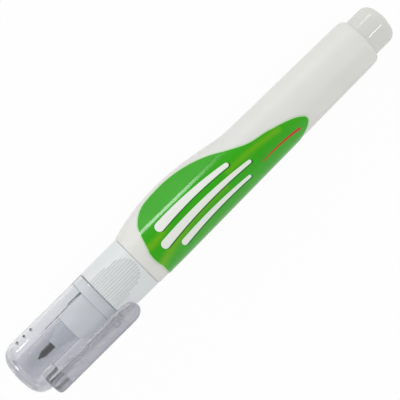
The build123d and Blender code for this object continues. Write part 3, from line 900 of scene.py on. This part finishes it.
def label_edges(station):
    """Low and high angle of the label: high on the upper outline, low under the back or on the rear one."""
    share = (station - LABEL_START) / LABEL_LENGTH
    upper, rear = smooth_line(UPPER_SHARES), smooth_line(REAR_SHARES)
    y = np.interp(share, np.maximum.accumulate(upper[:, 0]), upper[:, 1])
    high = across_to_angle(station, y * np.where(y > 0, CREST_HEIGHT, BARREL_RADIUS))
    from_front = np.clip(station - LABEL_START, 0, LABEL_CORNER)
    corner = LABEL_CORNER - np.sqrt(LABEL_CORNER**2 - (LABEL_CORNER - from_front) ** 2)
    to_end = (LABEL_START + LABEL_WRAP_END_SHARE * LABEL_LENGTH - station) / LABEL_WRAP_RUN
    wrap = np.minimum(LABEL_WRAP - corner, LABEL_WRAP * np.clip(to_end, 0, 1))
    under = -np.pi / 2 - np.arcsin(wrap / radius_at(station))
    rear_y = np.interp(share, rear[:, 0], rear[:, 1]) * radius_at(station)
    low = np.where(share < LABEL_WRAP_END_SHARE, under, across_to_angle(station, rear_y))
    return np.minimum(low, high), high


print("label from station", LABEL_START, "to", round(LABEL_START + LABEL_LENGTH, 1))

# %% [markdown]
# The film is a closed sheet with an upper and a lower side. A plane could be shrink-wrapped onto the
# barrel, but a grid in stations and angles lies on it exactly. One row of the grid runs where the round
# side passes into the flank, because the mirrored lamp would show any wobble there. Columns crowd at both
# ends, where the outline turns, and the front edge has a small nose.

# %% Label film
LABEL_COLUMNS, LABEL_ROWS, RIDGE_ROWS = 220, 110, 40
RIDGE_SHARE = 0.75
NOSE_REACH, NOSE_HALF, NOSE_RUN = 0.46, 2.7, 6.0
sweep = (1 - np.cos(np.linspace(0, np.pi, LABEL_COLUMNS))) / 2
label_station = (LABEL_START + LABEL_LENGTH * sweep)[:, None]
low_angle, high_angle = label_edges(label_station)
ridge_angle = np.minimum(np.pi / 2 - FLANK_TURN, low_angle + RIDGE_SHARE * (high_angle - low_angle))
below, above = np.linspace(0, 1, LABEL_ROWS)[:-1], np.linspace(0, 1, RIDGE_ROWS)
label_angle = np.hstack(
    [low_angle + (ridge_angle - low_angle) * below, ridge_angle + (high_angle - ridge_angle) * above]
)
# The nose is a parabola across the front edge that fades out along the label.
from_nose = BARREL_RADIUS * np.sin(label_angle) / NOSE_HALF + 1
fade = np.clip(1 - (label_station - LABEL_START) / NOSE_RUN, 0, 1) ** 2
label_station = label_station - NOSE_REACH * np.clip(1 - from_nose**2, 0, 1) * fade


def film_points(lift):
    """Grid of the film: the barrel's form with its radius grown by a lift."""
    reach = reach_at(radius_at(label_station) + lift, belly_at(label_station), label_angle)
    z = np.maximum(reach * np.cos(label_angle), -REST_DEPTH)
    return to_frame(label_station, reach * np.sin(label_angle), z)


film_top, film_under = film_points(LABEL_THICKNESS), film_points(LABEL_LIFT)
flat_width = np.linalg.norm(np.diff(film_top, axis=1), axis=-1).sum(axis=1).max() / MM
print("label laid flat:", round(LABEL_LENGTH, 1), "by", round(flat_width, 1), "mm")

# %% [markdown]
# The print is drawn in distances. Each point of the film carries how far it is, in millimetres, from the
# label's edge and from the printed shapes, and the material turns those distances into ink. A picture could
# carry the print too, but distances stay crisp at any zoom. The shapes are plain: broad white strokes, as
# the pen itself would paint, soft ribbons of yellow-green and one thin red line. The strokes are measured
# twice, the second time shifted a little, which gives each one a dark edge.

# %% Label print
# Each stroke: first and last station, y at both, bow of its middle, half width at both.
STROKES = (
    (10.5, 34.0, 2.2, 1.4, 0.6, 1.3, 0.65),
    (8.5, 39.0, -2.1, -2.2, 0.8, 1.2, 0.5),
    (12.5, 36.5, -5.2, -5.0, 0.5, 0.85, 0.4),
)
RED_LINES = ((41.5, 54.5, -4.7, -5.3, 0.35, 0.12, 0.34),)
RIBBONS = (
    (4.5, 30.0, -5.2, -2.4, 1.2, 0.6, 0.3),
    (33.0, 50.0, -0.2, -1.6, 0.5, 0.1, 0.3),
    (5.0, 12.0, 0.2, 1.2, -0.4, 0.5, 0.2),
)
SHADE_SHIFT = 0.32


def stroke_distance(station, y, first, last, first_y, last_y, bow, first_half, last_half):
    """Signed distance to a bowed, tapered bar: length of (past its end, off its line) less half width."""
    share = np.clip((station - first) / (last - first), 0, 1)
    line = first_y + (last_y - first_y) * share + 4 * bow * share * (1 - share)
    past_end = station - np.clip(station, first, last)
    return np.hypot(past_end, y - line) - (first_half + (last_half - first_half) * share)


def nearest(shapes, station, y):
    """Signed distance to the nearest of several bars: the least of their own distances."""
    return np.min([stroke_distance(station, y, *shape) for shape in shapes], axis=0)


def edge_distance(points, refine=8):
    """Distance in mm of each point of the film's grid from its rim, row by row to save memory."""
    rim = np.vstack([points[0], points[1:, -1], points[-1, -2::-1], points[-2::-1, 0]])
    ends = np.roll(rim, -1, axis=0)
    steps = np.linspace(0, 1, refine, endpoint=False)[None, :, None]
    dense = (rim[:, None] * (1 - steps) + ends[:, None] * steps).reshape(-1, 3)
    rows = [np.linalg.norm(row[:, None] - dense[None], axis=-1).min(axis=1) for row in points]
    return np.stack(rows) / MM


film_y = (film_top[..., 1] - AXIS_START[1]) / MM
ink = {
    "edge_mm": edge_distance(film_top),
    "stroke_mm": nearest(STROKES, label_station, film_y),
    "shade_mm": nearest(STROKES, label_station - SHADE_SHIFT, film_y + SHADE_SHIFT),
    "red_mm": nearest(RED_LINES, label_station, film_y),
    "ribbon_mm": nearest(RIBBONS, label_station, film_y),
}
ink = {key: np.concatenate([value, value[:, ::-1]], axis=1) for key, value in ink.items()}
both_sides = np.concatenate([film_top, film_under[:, ::-1]], axis=1)
print("printed shapes:", len(STROKES) + len(RED_LINES) + len(RIBBONS))

# %% [markdown]
# The label is polypropylene film, printed and coated with a clear gloss. The gloss gives the eye a sharp
# bright line along the belly. Each ink covers those before it where its distance is small, and fades out
# between two distances, which are wide apart for a soft ribbon and close together for a crisp stroke.

# %% Printed film
GROUND_GREENS, GROUND_CLOUD_MM = ("#2ba406", "#40b01c"), 7
FILM_ROUGHNESS, FILM_SHEEN = 0.13, 0.4
# Each ink: its distance, its colour, and the distances at which it covers fully and not at all.
INKS = (
    ("ribbon_mm", "#6cb414", -0.8, 1.4),
    ("shade_mm", "#12701a", -0.1, 0.12),
    ("stroke_mm", "#eef1ea", -0.05, 0.05),
    ("red_mm", "#c3301c", -0.05, 0.05),
    ("edge_mm", "#c4e2b8", 0.25, 0.42),
)


def printed_film():
    """Glossy printed film: green ground, ribbons, dark-edged white strokes, a red line and a pale rim."""
    material, tree, shader = new_material("printed_gloss_film")
    place = add_node(tree, "ShaderNodeTexCoord").outputs["Object"]
    clouds = {"Vector": place, "Scale": per_metre(GROUND_CLOUD_MM), "Detail": 2.0}
    cloud = add_node(tree, "ShaderNodeTexNoise", None, clouds)
    deep, light = (linear(green) for green in GROUND_GREENS)
    greens = {0: cloud.outputs[0], 6: deep, 7: light}
    colour = add_node(tree, "ShaderNodeMix", {"data_type": "RGBA"}, greens).outputs[2]
    for key, hex_value, full_mm, none_mm in INKS:
        distance = add_node(tree, "ShaderNodeAttribute", {"attribute_name": key}).outputs["Fac"]
        ramp = {"Value": distance, "From Min": full_mm, "From Max": none_mm, "To Min": 1.0, "To Max": 0.0}
        cover = add_node(tree, "ShaderNodeMapRange", {"interpolation_type": "SMOOTHSTEP"}, ramp)
        layers = {0: cover.outputs[0], 6: colour, 7: linear(hex_value)}
        colour = add_node(tree, "ShaderNodeMix", {"data_type": "RGBA"}, layers).outputs[2]
    tree.links.new(colour, shader.inputs["Base Color"])
    shader.inputs["Roughness"].default_value = FILM_ROUGHNESS
    shader.inputs["Specular IOR Level"].default_value = FILM_SHEEN
    return material


label_mesh = grid_mesh("printed_label", both_sides, values=ink)
add_piece("printed_label", label_mesh, printed_film(), "barrel", ["label"])

# %% [markdown]
# ## Clear cap
#
# The cap is a moulded shell with a boss for the cup, snap slits, vent holes and a clip that grows out of
# its side. Clear plastic shows every facet, so it is built from fine grids. They are joined and cut by
# exact Boolean steps, because a skin left inside the wall would bend the light twice.

# %% Slabs, balls and Boolean steps
BALL_ROWS = 32


def tilted(station, across, height, angle):
    """Points at a height above the axis, on the side of the pen that lies at an angle towards the belly."""
    y = height * np.sin(angle) + across * np.cos(angle)
    z = height * np.cos(angle) - across * np.sin(angle)
    return to_frame(station, y, z)


def slab(outline, levels, angle, floor=0.0):
    """Closed slab: at each level (share, inset, height) a plan outline is drawn in towards its middle line.

    Where a floor is given, no point lies lower than that radius from the axis."""
    low, high = outline.min(axis=0), outline.max(axis=0)
    half = (high - low).min() / 2
    middle = np.clip(outline, low + half, high - half)
    arm = outline - middle
    share, inset, height = (np.array(levels, float)[:, k, None, None] for k in range(3))
    length = np.linalg.norm(arm, axis=1)[None, :, None]
    plan = middle + arm * share * np.clip(1 - inset / length, 0, 1)
    curve = np.sqrt(np.clip(floor**2 - plan[..., 1] ** 2, 0, None))
    return tilted(plan[..., 0], plan[..., 1], np.maximum(height[..., 0], curve), angle)


def ball(station, height, radius, angle=0.0):
    """Sphere: (cos a, sin a cos b, sin a sin b) times the radius, from pole to pole."""
    a = np.linspace(0, np.pi, BALL_ROWS)[:, None]
    b = np.linspace(0, 2 * np.pi, 2 * BALL_ROWS, endpoint=False)
    ring = radius * np.sin(a)
    return tilted(station + radius * np.cos(a), ring * np.cos(b), height + ring * np.sin(b), angle)


def joined(base, steps):
    """Adds closed meshes to a base mesh, or cuts them out of it, by exact Boolean steps."""
    work = bpy.data.objects.new("work", base)
    spare = [work]
    for mesh, operation in steps:
        spare.append(bpy.data.objects.new("tool", mesh))
        step = work.modifiers.new(operation, "BOOLEAN")
        step.operation, step.solver, step.object = operation, "EXACT", spare[-1]
    for thing in spare:
        bpy.context.collection.objects.link(thing)
    graph = bpy.context.evaluated_depsgraph_get()
    result = bpy.data.meshes.new_from_object(work.evaluated_get(graph))
    for thing in spare:
        bpy.data.objects.remove(thing)
    finish_mesh(result)
    print("joined", len(steps), "tools into", len(result.vertices), "points")
    return result


print("a ball has", BALL_ROWS, "rows from pole to pole")

# %% [markdown]
# The shell is a half section turned about the axis: a closed end with a boss for the cup, a thin wall and a
# wider seat at the mouth. Smooth shading blends the normals of neighbouring faces, and along a very long
# face that blend shows as a streak. So the section has extra points along the wall and close to each edge.

# %% Cap shell
CAP_MOUTH, CAP_FRONT, CAP_RADIUS, CAP_BORE = -12.8, -43.4, 7.9, 6.95
CAP_SEAT, CAP_SEAT_RADIUS = -15.9, 7.2
CAP_END, CAP_DOME, CAP_CORNER, CAP_INNER_CORNER = -41.7, 0.35, 4.6, 2.9
BOSS_BORE, BOSS_RADIUS, BOSS_REAR = 3.87, 4.47, -40.5
ROOT_REAR, SLIT_START, EDGE_GUARD = -33.65, -20.5, 0.4
CAP_STEPS = 24


def cap_profile():
    """Half section of the shell, from the pole of its inner end round the mouth to its outer pole."""
    along, drop = quarter_arc(CAP_STEPS)
    bend = CAP_FRONT + CAP_DOME
    boss = [
        (CAP_END, 0, 0),
        (CAP_END, BOSS_BORE, FINE_EDGE),
        (BOSS_REAR, BOSS_BORE, FINE_EDGE),
        (BOSS_REAR, BOSS_RADIUS, FINE_EDGE),
    ]
    inner = np.stack([CAP_END + CAP_INNER_CORNER * drop, CAP_BORE - CAP_INNER_CORNER * (1 - along)], axis=1)
    inner = inner[inner[:, 1] > BOSS_RADIUS]
    mouth = [
        (CAP_END + CAP_INNER_CORNER, CAP_BORE, 0),
        (ROOT_REAR, CAP_BORE, 0),
        (SLIT_START, CAP_BORE, 0),
        (CAP_SEAT - EDGE_GUARD, CAP_BORE, 0),
        (CAP_SEAT, CAP_BORE, TINY_EDGE),
        (CAP_SEAT, CAP_SEAT_RADIUS, TINY_EDGE),
        (CAP_MOUTH, CAP_SEAT_RADIUS, TINY_EDGE),
        (CAP_MOUTH, CAP_RADIUS, FINE_EDGE),
        (CAP_MOUTH - EDGE_GUARD, CAP_RADIUS, 0),
        (CAP_SEAT, CAP_RADIUS, 0),
        (SLIT_START, CAP_RADIUS, 0),
        (ROOT_REAR, CAP_RADIUS, 0),
        (bend + CAP_CORNER, CAP_RADIUS, 0),
    ]
    outer = np.stack([bend + CAP_CORNER * (1 - along), CAP_RADIUS - CAP_CORNER * drop], axis=1)
    end_radius = np.linspace(CAP_RADIUS - CAP_CORNER, 0, DOME_STEPS)
    end = np.stack([CAP_FRONT + CAP_DOME * (end_radius / end_radius[0]) ** 2, end_radius], axis=1)
    boss_foot = [(inner[0, 0], BOSS_RADIUS, 0)]
    return np.vstack([rounded(boss + boss_foot), inner, rounded(mouth), outer, end])


shell_mesh = grid_mesh("shell", turned(cap_profile()))
print("shell", len(shell_mesh.vertices), "points")

# %% [markdown]
# The clip is a blade on a root that stands on the shell's side, with a bead below it that grips a pocket.
# Seen from above it is a strip with a round rear end, and a stack of levels draws that outline in at its
# edges. Two thin slits let the mouth snap over the collar, and three small vents let air through.

# %% Clip, slits and vents
CLIP_ANGLE = math.radians(-50)
CLIP_START, CLIP_END, CLIP_HALF, CLIP_CORNER = -37.95, -7.55, 3.5, 1.8
CLIP_INSIDE, CLIP_OUTSIDE, CLIP_EDGE, CLIP_CROWN = 10.0, 11.45, 0.45, 0.12
ROOT_FLOOR, ROOT_OVERLAP = 7.4, 0.3
BEAD_STATION, BEAD_HEIGHT, BEAD_RADIUS = -14.95, 10.15, 1.0
SLIT_ANGLES, SLIT_HALF = np.radians((36.0, 216.0)), 0.15
VENT_STATIONS, VENT_ANGLE, VENT_RADIUS = (-36.9, -34.4, -31.9), math.radians(62), 0.45
CUT_INSIDE, CUT_OUTSIDE = 5.0, 9.0
TAIL_STEPS, NOSE_STEPS, EDGE_STEPS, VENT_STEPS = 40, 10, 8, 24
CROWN_SHARES = (0.85, 0.65, 0.4, 0.2, 0)


def clip_outline():
    """Plan of the clip: round rear end and two rounded front corners."""
    turn = np.linspace(-np.pi / 2, np.pi / 2, TAIL_STEPS)
    tail = np.stack([CLIP_END - CLIP_HALF + CLIP_HALF * np.cos(turn), CLIP_HALF * np.sin(turn)], axis=1)
    return np.vstack([tail, clip_nose()])


def clip_nose():
    """Front edge of the clip's plan with its two rounded corners."""
    rear = (ROOT_REAR, CLIP_HALF, 0), (ROOT_REAR, -CLIP_HALF, 0)
    corners = (CLIP_START, CLIP_HALF, CLIP_CORNER), (CLIP_START, -CLIP_HALF, CLIP_CORNER)
    return rounded([rear[0], *corners, rear[1]], NOSE_STEPS)[NOSE_STEPS:-NOSE_STEPS]


def upright(low, high):
    """Levels of a slab with square edges between two heights."""
    return [(0, 0, low), (1, 0, low), (1, 0, high), (0, 0, high)]


def blade_levels():
    """Levels of the clip's blade: flat below, a rounded upper edge and a low crown."""
    top = CLIP_OUTSIDE - CLIP_CROWN
    below = [(0, 0, CLIP_INSIDE), (1, TINY_EDGE, CLIP_INSIDE), (1, 0, CLIP_INSIDE + TINY_EDGE)]
    arc = zip(*quarter_arc(EDGE_STEPS))
    edge = [(1, CLIP_EDGE * drop, top - CLIP_EDGE * (1 - along)) for along, drop in arc]
    crown = [(share, CLIP_EDGE, CLIP_OUTSIDE - CLIP_CROWN * share**2) for share in CROWN_SHARES]
    return below + edge + crown


root_plan = np.vstack([[(ROOT_REAR, -CLIP_HALF), (ROOT_REAR, CLIP_HALF)], clip_nose()])
root_levels = upright(0, CLIP_INSIDE + ROOT_OVERLAP)
slit_plan = np.array(
    [(SLIT_START, SLIT_HALF), (SLIT_START, -SLIT_HALF), (CAP_SEAT, -SLIT_HALF), (CAP_SEAT, SLIT_HALF)]
)
vent_turn = np.linspace(0, 2 * np.pi, VENT_STEPS, endpoint=False)
vent_plan = VENT_RADIUS * np.stack([np.cos(vent_turn), np.sin(vent_turn)], axis=1)

steps = [
    (grid_mesh("blade", slab(clip_outline(), blade_levels(), CLIP_ANGLE)), "UNION"),
    (grid_mesh("bead", ball(BEAD_STATION, BEAD_HEIGHT, BEAD_RADIUS, CLIP_ANGLE)), "UNION"),
    (grid_mesh("root", slab(root_plan, root_levels, CLIP_ANGLE, ROOT_FLOOR)), "UNION"),
]
cuts = [(slit_plan, angle) for angle in SLIT_ANGLES]
cuts += [(vent_plan + (station, 0), VENT_ANGLE) for station in VENT_STATIONS]
for plan, angle in cuts:
    cutter = slab(plan, upright(CUT_INSIDE, CUT_OUTSIDE), angle)
    steps.append((grid_mesh("cutter", cutter), "DIFFERENCE"))
add_piece("clear_cap", joined(shell_mesh, steps), clear_polystyrene, "cap", ["cap_shell"])

# %% [markdown]
# The cup inside the cap seals the tip, so that the fluid in it doesn't dry. It is softer plastic, a little
# cloudier than the cap. It is round, so it is turned like the shell.

# %% Sealing cup
CUP_FRONT, CUP_REAR, CUP_RADIUS, CUP_BORE, CUP_END = -41.65, -24.75, 3.82, 3.27, -40.75
CUP_CORNER = 0.3
cup_section = [
    (CUP_END, 0, 0),
    (CUP_END, CUP_BORE, CUP_CORNER),
    (CUP_REAR - EDGE_GUARD, CUP_BORE, 0),
    (CUP_REAR, CUP_BORE, FINE_EDGE),
    (CUP_REAR, CUP_RADIUS, FINE_EDGE),
    (CUP_REAR - EDGE_GUARD, CUP_RADIUS, 0),
    (CUP_FRONT + EDGE_GUARD, CUP_RADIUS, 0),
    (CUP_FRONT, CUP_RADIUS, FINE_EDGE),
    (CUP_FRONT, 0, 0),
]
cup_mesh = grid_mesh("sealing_cup", turned(rounded(cup_section)))
add_piece("sealing_cup", cup_mesh, clear_polypropylene, "inner_cap", ["inner_cap"])

# %% [markdown]
# ## Mixing ball
#
# The steel ball rattles in the barrel and stirs the fluid when the pen is shaken. Nothing shows it, but the
# part can be taken apart, so it gets its polish too. The function that made the clip's bead makes it, with
# its size and place taken from the frame.

# %% Mixing ball
ball_low, ball_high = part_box("mixing_ball")
ball_station = sum(node_stations("mixing_ball")) / 2
ball_height = (ball_low.z + ball_high.z) / 2 / MM - REST_DEPTH
ball_radius = (ball_high.x - ball_low.x) / 2 / MM
ball_mesh = grid_mesh("stirring_ball", ball(ball_station, ball_height, ball_radius))
add_piece("stirring_ball", ball_mesh, bearing_steel, "mixing_ball", ["mixing_ball"])
